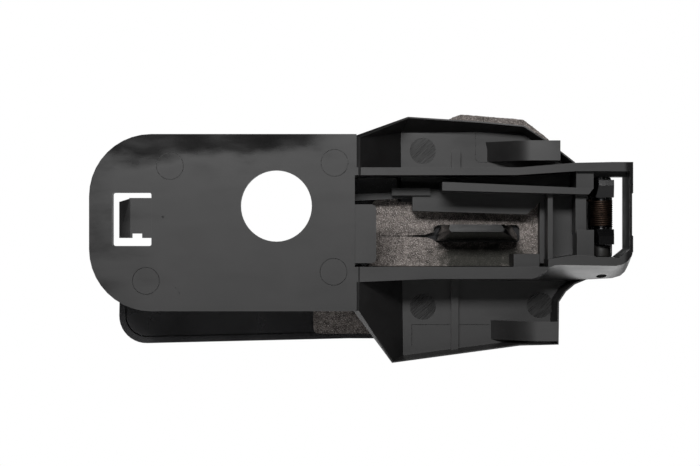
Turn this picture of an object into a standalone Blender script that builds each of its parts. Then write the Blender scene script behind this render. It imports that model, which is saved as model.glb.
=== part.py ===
"""Exterior car door handle, seen from its back: base moulding, swinging lever, pin, spring and fittings.

The origin lies on the flat back face of the plate. +X runs from the rounded end to the pivot, +Z is up the
plate and +Y points out of the door. Sizes are in millimetres and become metres as each shape is made.
"""

import math

import bmesh
import bpy
from mathutils import Matrix, Vector

MM = 0.001
GAP = 0.3

# The plate that carries the lock hole and the snap window.
PLATE_LEFT, PLATE_RIGHT = -42.9, 60.5
PLATE_TOP, PLATE_BOTTOM = 34.2, -34.3
PLATE_CORNER = 24.0
PLATE_THICK = 2.5
RIM_DEPTH = 6.0
LOCK_X, LOCK_Z, LOCK_RADIUS = 29.4, 6.4, 13.8
WINDOW = (-34.0, -18.8, -9.1, 11.5)

# The fairing tray to the right of the plate.
FLOOR_OUT = 26.2
SHELL = 2.2
FLOOR_IN = FLOOR_OUT - SHELL
SKIRT_RIM = 14.0
RIM_SHARE = 0.25

# The walls of the well and the open frame that holds the pin.
WALL_DEEP = 25.0
WELL_LEFT, WELL_RIGHT = 59.8, 134.6
WELL_LOW, WELL_HIGH = -17.2, 8.4
SLOT_TOP = 18.3
FRAME_LEFT, FRAME_RIGHT, FRAME_SIDE = 152.9, 166.2, 167.4
FRAME_LOW, FRAME_HIGH, FRAME_TOP = -13.7, 19.9, 23.4
FRAME_OUT = 22.0

# The hinge.
PIVOT_X, PIVOT_Y = 156.5, 11.0
PIN_RADIUS, PIN_LOW, PIN_HIGH = 1.75, -19.5, 21.7
PIN_HOLE = PIN_RADIUS + GAP
LUG_NEAR = 4.0
UPPER_LUG = (9.8, 16.6)
LOWER_LUG = (-8.5, -2.6)
LUG_SPAN = (150.0, 164.0)
COIL_RADIUS, WIRE_RADIUS, COIL_TURNS = 4.0, 0.4, 12.0
COIL_LOW, COIL_HIGH = -1.5, 8.7
HUB_LEG_END = 15.4

# The lever: an inner arm inside an outer cover, with foam on its back.
LEVER_BACK = 30.0
ARM_THICK = 3.5
COVER_WALL = 2.5
CROWN = 44.5
COVER_ROUND = 3.4
FOAM_NEAR, FOAM_FAR = FLOOR_OUT + 0.4, LEVER_BACK - GAP
SCREWS = ((-22.0, -31.0), (36.0, -31.0), (118.0, 27.0))
BUFFERS = ((88.0, 27.0), (88.0, -38.0))
BUFFER_RADIUS = 4.0

LEVER_OUTLINE = (
    (-35.0, -48.6, 11.0),
    (57.5, -46.4, 60.0),
    (139.5, -46.6, 5.0),
    (139.5, -29.0, 8.0),
    (149.5, -19.0, 8.0),
    (163.3, -16.5, 5.0),
    (163.3, 20.4, 5.0),
    (149.5, 21.0, 8.0),
    (137.0, 32.4, 12.0),
    (127.4, 40.2, 8.0),
    (98.0, 41.8, 10.0),
    (84.0, 38.5, 9.0),
    (56.5, 22.0, 12.0),
    (53.0, -17.0, 16.0),
    (-34.4, -17.0, 11.0),
)
FOAM_OUTLINE = (
    (43.3, -44.3, 2.4),
    (138.0, -44.5, 4.0),
    (137.6, -29.0, 6.0),
    (149.8, -17.0, 4.0),
    (149.8, 20.0, 3.0),
    (136.9, 33.9, 2.0),
    (127.3, 41.3, 3.0),
    (102.0, 43.4, 4.0),
    (85.0, 36.0, 6.0),
    (80.0, 10.5, 6.0),
    (66.8, 9.3, 3.0),
    (66.0, -18.0, 3.0),
    (43.3, -19.5, 2.4),
)


def clear_scene() -> None:
    """Removes whatever the file starts with."""
    for obj in list(bpy.data.objects):
        bpy.data.objects.remove(obj)


def make_collection(name: str, hidden: bool = False) -> bpy.types.Collection:
    """Adds a collection to the scene."""
    collection = bpy.data.collections.new(name)
    collection.hide_render = hidden
    bpy.context.scene.collection.children.link(collection)
    return collection


def make_material(name: str, color: tuple, roughness: float, metallic: float = 0.0) -> bpy.types.Material:
    """A Principled BSDF material of one colour."""
    material = bpy.data.materials.new(name)
    material.use_nodes = True
    shader = material.node_tree.nodes["Principled BSDF"]
    shader.inputs["Base Color"].default_value = (*color, 1.0)
    shader.inputs["Roughness"].default_value = roughness
    shader.inputs["Metallic"].default_value = metallic
    material.diffuse_color = (*color, 1.0)
    return material


def round_corners(corners: tuple, steps: int = 5) -> list:
    """An outline from (x, z, radius) corners, with each radius drawn as an arc."""
    points = []
    for index, (x, z, radius) in enumerate(corners):
        here = Vector((x, z))
        if radius == 0:
            points.append((x, z))
            continue
        before = (Vector(corners[index - 1][:2]) - here).normalized()
        after = (Vector(corners[(index + 1) % len(corners)][:2]) - here).normalized()
        half = math.acos(max(-1.0, min(1.0, before.dot(after)))) / 2
        centre = here + (before + after).normalized() * (radius / math.sin(half))
        first = here + before * (radius / math.tan(half)) - centre
        sweep = math.pi - 2 * half
        turn = 1 if first.x * (here - centre).y - first.y * (here - centre).x > 0 else -1
        start = math.atan2(first.y, first.x)
        count = max(2, math.ceil(steps * sweep / (math.pi / 2)))
        for step in range(count + 1):
            angle = start + turn * sweep * step / count
            points.append((centre.x + radius * math.cos(angle), centre.y + radius * math.sin(angle)))
    return points


def inset(corners: tuple, distance: float) -> tuple:
    """The same anticlockwise outline moved inwards by a distance."""
    moved = []
    for index, (x, z, radius) in enumerate(corners):
        here = Vector((x, z))
        along = (here - Vector(corners[index - 1][:2])).normalized()
        onward = (Vector(corners[(index + 1) % len(corners)][:2]) - here).normalized()
        normals = Vector((-along.y, along.x)), Vector((-onward.y, onward.x))
        shift = (normals[0] + normals[1]) * (distance / (1 + normals[0].dot(normals[1])))
        convex = along.x * onward.y - along.y * onward.x > 0
        corner = max(radius - distance, 0.4) if convex else radius + distance
        moved.append((*(here + shift), corner if radius else 0.0))
    return tuple(moved)


def rectangle(left: float, right: float, low: float, high: float, radius: float = 0.0) -> list:
    """A rectangular outline, anticlockwise from its lower left corner."""
    corners = ((left, low, radius), (right, low, radius), (right, high, radius), (left, high, radius))
    return round_corners(corners, 4)


def finish_mesh(name: str, bm: bmesh.types.BMesh, collection: bpy.types.Collection) -> bpy.types.Object:
    """Makes a named object from an edit mesh, with doubles merged and faces pointing out."""
    bmesh.ops.remove_doubles(bm, verts=bm.verts, dist=0.002 * MM)
    bmesh.ops.recalc_face_normals(bm, faces=bm.faces)
    mesh = bpy.data.meshes.new(name)
    bm.to_mesh(mesh)
    bm.free()
    obj = bpy.data.objects.new(name, mesh)
    collection.objects.link(obj)
    return obj


def curve_mesh(curve: bpy.types.Curve) -> bmesh.types.BMesh:
    """The evaluated surface of a curve as an edit mesh, and the curve removed."""
    guide = bpy.data.objects.new("guide", curve)
    bpy.context.scene.collection.objects.link(guide)
    mesh = bpy.data.meshes.new_from_object(guide.evaluated_get(bpy.context.evaluated_depsgraph_get()))
    bpy.data.objects.remove(guide)
    bm = bmesh.new()
    bm.from_mesh(mesh)
    bpy.data.meshes.remove(mesh)
    return bm


def extruded(
    name: str, outlines: list, low: float, high: float, turn: Matrix, collection
) -> bpy.types.Object:
    """Flat outlines, the later ones holes in the first, extruded from low to high and turned into place."""
    curve = bpy.data.curves.new(name, "CURVE")
    curve.dimensions = "2D"
    curve.fill_mode = "BOTH"
    curve.extrude = (high - low) / 2 * MM
    for outline in outlines:
        spline = curve.splines.new("POLY")
        spline.points.add(len(outline) - 1)
        spline.use_cyclic_u = True
        for point, (first, second) in zip(spline.points, outline):
            point.co = (first * MM, second * MM, 0.0, 1.0)
    bm = curve_mesh(curve)
    middle = Matrix.Translation((0.0, 0.0, (low + high) / 2 * MM))
    bmesh.ops.transform(bm, matrix=turn @ middle, verts=bm.verts)
    return finish_mesh(name, bm, collection)


def prism(name: str, outlines: list, near: float, far: float, collection) -> bpy.types.Object:
    """Outlines in the XZ plane, carried along Y from near to far."""
    turn = Matrix(((1, 0, 0, 0), (0, 0, 1, 0), (0, 1, 0, 0), (0, 0, 0, 1)))
    return extruded(name, outlines, near, far, turn, collection)


def rail(name: str, outline: list, low: float, high: float, collection) -> bpy.types.Object:
    """An outline in the XY plane, carried up Z from low to high."""
    return extruded(name, [outline], low, high, Matrix.Identity(4), collection)


def loft(name: str, sections: list, collection) -> bpy.types.Object:
    """A solid through outlines of equal length, each given as (y, outline)."""
    bm = bmesh.new()
    rings = [[bm.verts.new((x * MM, y * MM, z * MM)) for x, z in outline] for y, outline in sections]
    for ring, following in zip(rings, rings[1:]):
        for index in range(len(ring)):
            after = (index + 1) % len(ring)
            bm.faces.new((ring[index], ring[after], following[after], following[index]))
    bm.faces.new(rings[0])
    bm.faces.new(rings[-1])
    return finish_mesh(name, bm, collection)


def rod(name: str, radius: float, start: tuple, end: tuple, collection, sides: int = 32) -> bpy.types.Object:
    """A closed cylinder between two points."""
    start, end = Vector(start) * MM, Vector(end) * MM
    bm = bmesh.new()
    place = Matrix.Translation((start + end) / 2) @ (end - start).to_track_quat("Z", "Y").to_matrix().to_4x4()
    bmesh.ops.create_cone(
        bm, cap_ends=True, segments=sides, radius1=radius * MM, radius2=radius * MM,
        depth=(end - start).length, matrix=place,
    )
    return finish_mesh(name, bm, collection)


def outward_rod(
    name: str, place: tuple, radius: float, near: float, far: float, collection, sides: int = 32
) -> bpy.types.Object:
    """A cylinder along Y at a place (x, z)."""
    x, z = place
    return rod(name, radius, (x, near, z), (x, far, z), collection, sides)


def upright_rod(
    name: str, radius: float, low: float, high: float, collection, sides: int = 32
) -> bpy.types.Object:
    """A cylinder along the hinge axis."""
    return rod(name, radius, (PIVOT_X, PIVOT_Y, low), (PIVOT_X, PIVOT_Y, high), collection, sides)


def combine(target: bpy.types.Object, operation: str, shapes: list) -> None:
    """Joins shapes to the target or cuts them from it, and hides them."""
    group = bpy.data.collections.new(f"{target.name}_{operation.lower()}_{len(target.modifiers)}")
    HELPERS.children.link(group)
    for shape in shapes:
        for holder in list(shape.users_collection):
            holder.objects.unlink(shape)
        group.objects.link(shape)
        shape.hide_render = True
        shape.display_type = "WIRE"
    modifier = target.modifiers.new(operation.title(), "BOOLEAN")
    modifier.operation = operation
    modifier.operand_type = "COLLECTION"
    modifier.collection = group
    modifier.solver = "EXACT"


def fairing_tray() -> bpy.types.Object:
    """The ramp, floor and flared skirts as one open sheet with a wall thickness."""
    ramp_near = ((59.4, 1.2, 33.4), (59.4, 1.2, PLATE_BOTTOM))
    top_floor = ((77.0, 37.5), (109.8, 38.0), (127.5, 37.6), (134.7, 32.6), (146.8, 23.2))
    top_rim = ((80.8, 41.7), (109.1, 39.9), (126.5, 38.3), (134.9, 32.9), (146.6, 23.8))
    low_floor = ((153.3, -21.6), (146.4, -24.6), (142.8, -27.6), (140.1, -31.5), (139.9, -48.5), (125.6, -49.0),
                 (78.0, -55.0))
    low_rim = ((153.2, -21.5), (146.5, -24.3), (143.0, -27.2), (140.3, -31.2), (140.1, -48.0), (124.9, -48.4),
               (74.5, -55.2))
    right_edge = ((153.2, 21.2),)
    bm = bmesh.new()

    def vertices(points: tuple, depth: float) -> list:
        return [bm.verts.new((x * MM, depth * MM, z * MM)) for x, z in points]

    near_top, near_low = (bm.verts.new(Vector(point) * MM) for point in ramp_near)
    tops, lows = vertices(top_floor, FLOOR_OUT), vertices(low_floor, FLOOR_OUT)
    top_rims, low_rims = vertices(top_rim, SKIRT_RIM), vertices(low_rim, SKIRT_RIM)
    bm.faces.new((*tops, *vertices(right_edge, FLOOR_OUT), *lows))
    bm.faces.new((near_top, tops[0], lows[-1], near_low))
    bm.faces.new((near_top, top_rims[0], tops[0]))
    bm.faces.new((near_low, lows[-1], low_rims[-1]))
    for floor, rim in ((tops, top_rims), (lows, low_rims)):
        for index in range(len(floor) - 1):
            bm.faces.new((floor[index], rim[index], rim[index + 1], floor[index + 1]))
    thin = [vertex.co.copy() for vertex in (*top_rims, *low_rims)]
    tray = finish_mesh("tray", bm, HELPERS)
    thickness = tray.vertex_groups.new(name="thickness")
    for vertex in tray.data.vertices:
        at_rim = any((vertex.co - place).length < 0.01 * MM for place in thin)
        thickness.add([vertex.index], RIM_SHARE if at_rim else 1.0, "REPLACE")
    outwards = max(tray.data.polygons, key=lambda face: face.area).normal.y
    if outwards < 0:
        tray.data.flip_normals()
    shell = tray.modifiers.new("Wall", "SOLIDIFY")
    shell.thickness = SHELL * MM
    shell.use_even_offset = True
    shell.vertex_group = thickness.name
    return tray


def well_walls() -> list:
    """The long walls on each side of the well, and the pivot frame at their end."""
    upper = [(58.5, 18.35), (122.5, 18.35), (146.0, 19.9), (160.0, 19.9), (160.0, FRAME_TOP), (145.0, 23.1),
             (134.1, 22.2), (123.6, 21.3), (58.5, 21.3)]
    inner = [(58.5, -17.2), (121.5, -17.2), (121.5, -16.6), (136.2, -14.0), (144.9, -12.6), (153.6, -13.1),
             (162.0, FRAME_LOW), (FRAME_RIGHT + 0.4, -10.0)]
    near_edge = [(FRAME_SIDE, -10.4), (167.0, -12.6), (165.6, -14.7), (163.4, -16.2), (160.7, -16.8),
                 (139.1, -16.4), (137.0, -16.6), (135.2, -17.4), (130.6, -21.0), (128.4, -21.7), (88.9, -21.8),
                 (58.5, -23.1)]
    rim_edge = [(FRAME_SIDE, -15.0), (167.1, -17.4), (166.0, -19.4), (164.3, -20.9), (161.2, -21.8),
                (146.5, -22.6), (141.5, -22.6), (137.5, -22.7), (132.5, -22.9), (128.8, -22.9), (88.9, -22.2),
                (58.5, -23.3)]
    deep_edge = [(x - 0.3, z) for x, z in rim_edge[:1]] + [(x, z - 0.4) for x, z in rim_edge[1:]]
    side = [(FRAME_RIGHT, -11.5), (FRAME_SIDE, -11.5), (FRAME_SIDE, -5.2), (FRAME_SIDE - 0.4, -5.0),
            (FRAME_SIDE - 0.4, 11.2), (FRAME_SIDE, 11.4), (FRAME_SIDE, FRAME_TOP), (159.0, FRAME_TOP),
            (159.0, FRAME_HIGH), (FRAME_RIGHT, FRAME_HIGH)]
    return [
        prism("wall_upper", [upper], 0.0, WALL_DEEP, HELPERS),
        loft("wall_lower", [(0.0, inner + near_edge), (SKIRT_RIM, inner + rim_edge),
                            (WALL_DEEP, inner + deep_edge)], HELPERS),
        prism("frame_side", [side], 0.0, FRAME_OUT, HELPERS),
        prism("frame_head", [rectangle(151.5, 166.8, 18.0, 23.0)], 8.0, FRAME_OUT, HELPERS),
        prism("block_cross", [rectangle(145.7, 152.4, 13.0, 22.6)], 2.5, 24.6, HELPERS),
    ]


def plate_stiffeners(outline: tuple) -> list:
    """The lip round the plate's outer side and the collars of its two openings."""
    left, right, low, high = WINDOW
    collar = rectangle(left - 1.6, right + 1.6, low - 1.6, high + 1.6, 1.0)
    return [
        prism("plate_lip", [round_corners(outline, 8), round_corners(inset(outline, 2.0), 8)],
              PLATE_THICK - 0.5, RIM_DEPTH, HELPERS),
        prism("window_collar", [collar], PLATE_THICK - 0.5, RIM_DEPTH - 0.4, HELPERS),
        outward_rod("lock_collar", (LOCK_X, LOCK_Z), LOCK_RADIUS + 2.0, PLATE_THICK - 0.5, 5.0, HELPERS, 48),
    ]


def openings() -> list:
    """What is cut from the plate, the floor and the frame before the well is fitted out."""
    left, right, low, high = WINDOW
    frame_opening = [(FRAME_LEFT, -13.4), (161.7, -13.4), (FRAME_RIGHT, -9.6), (FRAME_RIGHT, 17.9),
                     (FRAME_LEFT, 17.9)]
    return [
        outward_rod("cut_lock", (LOCK_X, LOCK_Z), LOCK_RADIUS, -2.0, 9.0, HELPERS, 48),
        prism("cut_window", [rectangle(left, right, low, high, 0.8)], -2.0, 9.0, HELPERS),
        prism("cut_well", [rectangle(WELL_LEFT, WELL_RIGHT, WELL_LOW, WELL_HIGH)], -2.0, 30.0, HELPERS),
        prism("cut_slot", [rectangle(WELL_LEFT, 77.0, 8.0, SLOT_TOP)], -2.0, 30.0, HELPERS),
        prism("cut_frame", [frame_opening], -2.0, 30.0, HELPERS),
        prism("cut_frame_back", [rectangle(FRAME_LEFT, 172.0, -30.0, 30.0)], FRAME_OUT, 32.0, HELPERS),
    ]


def well_fittings() -> list:
    """The ledge, bars and blocks that stand in the well."""
    ledge = [(82.7, 4.7), (127.9, 3.3), (133.0, 8.1), (133.0, 12.8), (82.7, 13.3)]
    bar_left = [(58.6, 8.7), (83.6, 9.8), (83.6, 12.3), (58.6, 11.4)]
    bar_middle = [(93.7, 12.4), (150.4, 10.9), (152.0, 13.2), (93.7, 15.7)]
    flap = ((57.8, -15.7, 0.0), (68.1, -15.7, 1.9), (68.1, 7.0, 1.9), (57.8, 7.0, 0.0))
    return [
        prism("ledge", [ledge], 18.0, FLOOR_OUT - 0.2, HELPERS),
        prism("bar_left", [bar_left], 20.0, 25.9, HELPERS),
        prism("bar_step", [rectangle(74.5, 89.7, 10.8, 13.7)], 16.5, 25.7, HELPERS),
        prism("bar_middle", [bar_middle], 0.6, 25.4, HELPERS),
        prism("recess_floor", [rectangle(133.0, 147.6, -16.0, 13.0)], 18.0, 26.0, HELPERS),
        prism("bar_first", [rectangle(134.9, 136.8, -15.0, 12.0)], 5.0, 25.0, HELPERS),
        prism("bar_second", [rectangle(145.7, 149.8, -4.0, 12.0)], 5.0, 24.8, HELPERS),
        prism("block_corner", [rectangle(146.0, 152.6, -14.5, -2.9)], 3.0, 24.7, HELPERS),
        prism("block_low", [rectangle(121.5, 131.4, -18.2, -12.3)], 3.0, 24.9, HELPERS),
        prism("flap", [round_corners(flap)], 0.5, 2.2, HELPERS),
    ]


def snap_leaf(name: str, left: float, right: float, low: float, high: float) -> bpy.types.Object:
    """A curved leaf that rises from the floor towards the door and ends flat."""
    near = [(0.0, FLOOR_IN + 0.3), (4.5, 20.8), (8.5, 16.4), (12.5, 12.2), (17.5, 9.9)]
    far = [(right - left, 10.9), (18.0, 11.5), (14.0, 13.6), (10.0, 18.0), (6.0, 22.4), (2.5, FLOOR_IN + 0.9)]
    profile = near + [(right - left, 9.3)] + far
    return rail(name, [(left + x, y) for x, y in profile], low, high, HELPERS)


def snap_features() -> list:
    """The tab in the window, the two leaves on the floor, and the ribs beside them."""
    tab = [(-18.0, 0.4), (-27.0, 0.4), (-31.6, 3.2), (-31.6, 5.6), (-29.4, 5.6), (-26.8, 2.2), (-18.0, 2.2)]
    return [
        rail("window_tab", tab, -6.0, 9.5, HELPERS),
        snap_leaf("leaf_upper", 111.5, 140.3, 24.4, 32.2),
        snap_leaf("leaf_lower", 113.9, 139.4, -46.4, -38.8),
        prism("rib_upper", [rectangle(98.3, 101.8, 20.6, 29.0, 1.0)], 21.6, 25.6, HELPERS),
        prism("rib_lower", [rectangle(98.2, 101.0, -51.0, -21.0)], 21.8, 25.5, HELPERS),
    ]


def base_housing(parts, material) -> bpy.types.Object:
    """The fixed moulding: plate, tray, walls, pivot frame and snap features."""
    outline = (
        (PLATE_LEFT, PLATE_BOTTOM, PLATE_CORNER),
        (PLATE_RIGHT, PLATE_BOTTOM, 0.0),
        (PLATE_RIGHT, PLATE_TOP, 0.0),
        (PLATE_LEFT, PLATE_TOP, PLATE_CORNER),
    )
    tab_notch = rectangle(-26.3, -22.4, -7.0, -4.3)
    tab_corner = [(-33.0, 8.1), (-31.3, 8.1), (-27.4, 9.2), (-27.4, 10.5), (-33.0, 10.5)]
    base = prism("base_housing", [round_corners(outline, 10)], 0.0, PLATE_THICK, parts)
    combine(base, "UNION", plate_stiffeners(outline) + [fairing_tray()] + well_walls())
    combine(base, "DIFFERENCE", openings())
    combine(base, "UNION", well_fittings() + snap_features())
    combine(base, "DIFFERENCE", [
        upright_rod("cut_pin", PIN_HOLE, -28.0, 22.1, HELPERS),
        prism("cut_tab_notch", [tab_notch], -1.0, 7.0, HELPERS),
        prism("cut_tab_corner", [tab_corner], -1.0, 7.0, HELPERS),
    ])
    base.data.materials.append(material)
    return base


def tongue() -> bpy.types.Object:
    """The blade that passes through the foam and works the latch."""
    root = [(92.2, -7.2), (125.3, -7.2), (125.3, -5.0), (122.4, -1.6), (94.0, -1.6), (92.2, -5.0)]
    shoulder = [(93.2, -7.0), (124.2, -7.0), (124.0, -4.8), (121.6, -1.2), (94.6, -1.2), (93.0, -4.8)]
    end = [(97.4, -3.6), (117.6, -3.6), (118.2, -2.6), (117.0, -0.7), (97.0, -0.7), (96.6, -2.6)]
    return loft("tongue", [(LEVER_BACK + 1.0, root), (18.0, shoulder), (7.0, end)], HELPERS)


def sloped_cut(name: str, flat_from: float, high: float, depth: float) -> bpy.types.Object:
    """A cutter that slopes a lug's near face away between two heights."""
    outline = [(LUG_NEAR - 1.0, flat_from), (LUG_NEAR, flat_from), (depth, high), (LUG_NEAR - 1.0, high)]
    turn = Matrix(((0, 0, 1, 0), (1, 0, 0, 0), (0, 1, 0, 0), (0, 0, 0, 1)))
    return extruded(name, [outline], *LUG_SPAN, turn, HELPERS)


def hub_shapes() -> list:
    """Two lugs round the pin and the wall that joins them to the arm."""
    back = LEVER_BACK + 1.2
    side = [(154.7, LUG_NEAR), (160.6, LUG_NEAR), (161.0, 8.0), (161.0, 15.0), (160.0, 22.0), (160.0, back),
            (153.4, back), (153.4, 9.0)]
    wall = [(153.6, 17.0), (160.4, 17.0), (159.8, 22.0), (159.8, back - 0.1), (153.6, back - 0.1)]
    return [
        rail("lug_upper", side, *UPPER_LUG, HELPERS),
        rail("lug_lower", side, *LOWER_LUG, HELPERS),
        rail("hub_wall", wall, LOWER_LUG[0] + 1.0, UPPER_LUG[1] - 1.0, HELPERS),
    ]


def lever_arm(parts, material) -> bpy.types.Object:
    """The moving inner arm: back plate, stiffening rib, tongue and lugs."""
    plate = round_corners(inset(LEVER_OUTLINE, COVER_WALL + 0.4), 4)
    arm = prism("lever_arm", [plate], LEVER_BACK, LEVER_BACK + ARM_THICK, parts)
    ribs = [
        prism("arm_rib", [rectangle(-15.0, 29.0, -33.0, -30.0)], LEVER_BACK + 1.0, 40.0, HELPERS),
        prism("head_rib", [rectangle(80.0, 112.0, -3.0, 0.0)], LEVER_BACK + 1.0, 40.0, HELPERS),
    ]
    combine(arm, "UNION", [tongue()] + hub_shapes() + ribs)
    cuts = [
        upright_rod("cut_lugs", PIN_HOLE, -12.0, 20.0, HELPERS),
        sloped_cut("cut_upper_lug", 14.4, UPPER_LUG[0] - 0.2, 7.2),
        sloped_cut("cut_lower_lug", -5.4, LOWER_LUG[1] + 0.2, 6.4),
    ]
    cuts += [outward_rod(f"cut_screw_{index}", place, 1.7, 25.0, 39.0, HELPERS, 16)
             for index, place in enumerate(SCREWS)]
    combine(arm, "DIFFERENCE", cuts)
    arm.data.materials.append(material)
    return arm


def rounded_front(
    name: str, outline: list, near: float, far: float, radius: float, parts
) -> bpy.types.Object:
    """A prism whose far edge is rounded over."""
    obj = prism(name, [outline], near, far, parts)
    bm = bmesh.new()
    bm.from_mesh(obj.data)
    bmesh.ops.dissolve_limit(bm, angle_limit=math.radians(1), verts=bm.verts, edges=bm.edges)
    front = [edge for edge in bm.edges if all(vert.co.y > (far - 0.1) * MM for vert in edge.verts)]
    bmesh.ops.bevel(bm, geom=front, offset=radius * MM, segments=2, profile=0.6, affect="EDGES")
    bm.to_mesh(obj.data)
    bm.free()
    return obj


def grip_cover(parts, material) -> bpy.types.Object:
    """The glossy outer shell, hollow towards the door, with bosses for its screws."""
    outline = round_corners(LEVER_OUTLINE, 4)
    cover = rounded_front("grip_cover", outline, LEVER_BACK, CROWN, COVER_ROUND, parts)
    cavity = round_corners(inset(LEVER_OUTLINE, COVER_WALL), 4)
    hollow = prism("cut_cavity", [cavity], LEVER_BACK - 3.0, CROWN - COVER_WALL, HELPERS)
    combine(cover, "DIFFERENCE", [hollow])
    boss_near = LEVER_BACK + ARM_THICK + GAP
    bosses = [outward_rod(f"boss_{i}", place, 3.6, boss_near, CROWN - 1.0, HELPERS, 16)
              for i, place in enumerate(SCREWS)]
    combine(cover, "UNION", bosses)
    holes = [outward_rod(f"cut_boss_{i}", place, 1.6, LEVER_BACK, 41.0, HELPERS, 16)
             for i, place in enumerate(SCREWS)]
    combine(cover, "DIFFERENCE", holes)
    cover.data.materials.append(material)
    return cover


def head_foam(parts, material) -> bpy.types.Object:
    """The foam sheet on the lever's back, with its slit and holes."""
    foam = prism("head_foam", [round_corners(FOAM_OUTLINE, 3)], FOAM_NEAR, FOAM_FAR, parts)
    mouth = round_corners(((91.6, -7.8, 1.5), (126.0, -7.8, 1.5), (126.0, -0.9, 2.0), (91.6, -0.9, 2.0)), 3)
    cuts = [
        prism("cut_mouth", [mouth], 20.0, 35.0, HELPERS),
        prism("cut_slit", [rectangle(66.0, 93.0, -5.6, -4.9)], 20.0, 35.0, HELPERS),
    ]
    cuts += [outward_rod(f"cut_foam_{i}", place, BUFFER_RADIUS + 0.4, 20.0, 35.0, HELPERS, 24)
             for i, place in enumerate(BUFFERS + SCREWS[2:])]
    combine(foam, "DIFFERENCE", cuts)
    foam.data.materials.append(material)
    return foam


def pivot_pin(parts, material) -> bpy.types.Object:
    """The steel pin, with a chamfer at each end."""
    pin = upright_rod("pivot_pin", PIN_RADIUS, PIN_LOW, PIN_HIGH, parts)
    chamfer = pin.modifiers.new("Chamfer", "BEVEL")
    chamfer.width = 0.35 * MM
    chamfer.segments = 1
    chamfer.angle_limit = math.radians(60)
    pin.data.materials.append(material)
    return pin


def ring(name: str, outer: float, low: float, high: float, parts, material) -> bpy.types.Object:
    """A turned ring round the pin: its profile is swept once about the hinge axis."""
    inner = PIN_HOLE
    profile = [(inner, low), (inner, high), (outer - 0.3, high), (outer, high - 0.3), (outer, low + 0.3),
               (outer - 0.3, low), (inner, low)]
    bm = bmesh.new()
    points = [bm.verts.new((radius * MM, 0.0, height * MM)) for radius, height in profile[:-1]]
    edges = [bm.edges.new((points[i - 1], points[i])) for i in range(len(points))]
    bmesh.ops.spin(bm, geom=points + edges, cent=(0, 0, 0), axis=(0, 0, 1), angle=math.tau, steps=24)
    obj = finish_mesh(name, bm, parts)
    obj.data.materials.append(material)
    obj.location = (PIVOT_X * MM, PIVOT_Y * MM, 0.0)
    return obj


def pin_clip(parts, material) -> bpy.types.Object:
    """The open retaining ring on the pin, above the upper lug."""
    clip = ring("pin_clip", 3.4, 16.9, 17.7, parts, material)
    gap = prism("cut_clip", [rectangle(PIVOT_X - 1.1, PIVOT_X + 1.1, 16.0, 19.0)], 5.0, PIVOT_Y - 0.5, HELPERS)
    combine(clip, "DIFFERENCE", [gap])
    return clip


def coil_points() -> list:
    """The spring's wire: a leg to the base, the coil, and a leg to the hub wall."""
    steps = round(COIL_TURNS * 14)
    points = [(150.7, PIVOT_Y + COIL_RADIUS, COIL_HIGH), (153.4, PIVOT_Y + COIL_RADIUS, COIL_HIGH)]
    for step in range(steps + 1):
        share = step / steps
        angle = math.pi / 2 - share * (COIL_TURNS * math.tau + math.pi / 2)
        height = COIL_HIGH + share * (COIL_LOW - COIL_HIGH)
        reach = (COIL_RADIUS * math.cos(angle), COIL_RADIUS * math.sin(angle))
        points.append((PIVOT_X + reach[0], PIVOT_Y + reach[1], height))
    points += [(PIVOT_X + COIL_RADIUS, PIVOT_Y + 3.0, COIL_LOW), (PIVOT_X + COIL_RADIUS, HUB_LEG_END, COIL_LOW)]
    return points


def return_spring(parts, material) -> bpy.types.Object:
    """The torsion spring round the pin, drawn as a wire along its points."""
    curve = bpy.data.curves.new("return_spring", "CURVE")
    curve.dimensions = "3D"
    curve.bevel_depth = WIRE_RADIUS * MM
    curve.bevel_resolution = 1
    curve.use_fill_caps = True
    points = coil_points()
    spline = curve.splines.new("POLY")
    spline.points.add(len(points) - 1)
    for place, point in zip(points, spline.points):
        point.co = (place[0] * MM, place[1] * MM, place[2] * MM, 1.0)
    spring = finish_mesh("return_spring", curve_mesh(curve), parts)
    spring.data.materials.append(material)
    return spring


def cover_screw(number: int, place: tuple, parts, material) -> bpy.types.Object:
    """A round-headed screw through the arm into the cover."""
    x, z = place
    head = LEVER_BACK - GAP
    profile = [(0.0, head - 1.5), (1.6, head - 1.5), (2.6, head - 1.0), (2.9, head), (1.3, head), (1.3, 39.5),
               (0.7, 40.4), (0.0, 40.4)]
    bm = bmesh.new()
    points = [bm.verts.new((radius * MM, depth * MM, 0.0)) for radius, depth in profile]
    edges = [bm.edges.new(pair) for pair in zip(points, points[1:])]
    bmesh.ops.spin(bm, geom=points + edges, cent=(0, 0, 0), axis=(0, 1, 0), angle=math.tau, steps=16)
    screw = finish_mesh(f"cover_screw_{number}", bm, parts)
    screw.data.materials.append(material)
    screw.location = (x * MM, 0.0, z * MM)
    return screw


def rest_buffer(name: str, place: tuple, parts, material) -> bpy.types.Object:
    """A rubber button on the lever's back that meets the fairing when the handle is shut."""
    buffer = outward_rod(name, place, BUFFER_RADIUS, FOAM_NEAR - 0.1, FOAM_FAR, parts, 24)
    edge = buffer.modifiers.new("Edge", "BEVEL")
    edge.width = 0.4 * MM
    edge.segments = 1
    edge.angle_limit = math.radians(60)
    buffer.data.materials.append(material)
    return buffer


def hang_on_pivot(pieces: list, parts) -> None:
    """Parents the moving pieces to an empty on the hinge axis."""
    pivot = bpy.data.objects.new("lever_pivot", None)
    pivot.location = (PIVOT_X * MM, PIVOT_Y * MM, 0.0)
    parts.objects.link(pivot)
    bpy.context.view_layer.update()
    for piece in pieces:
        piece.parent = pivot
        piece.matrix_parent_inverse = pivot.matrix_world.inverted()


def shade(parts) -> None:
    """Smooth faces with sharp edges kept, on every visible piece."""
    for obj in parts.objects:
        if obj.type == "MESH":
            obj.data.shade_smooth()
            obj.data.set_sharp_from_angle(angle=math.radians(35))


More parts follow.
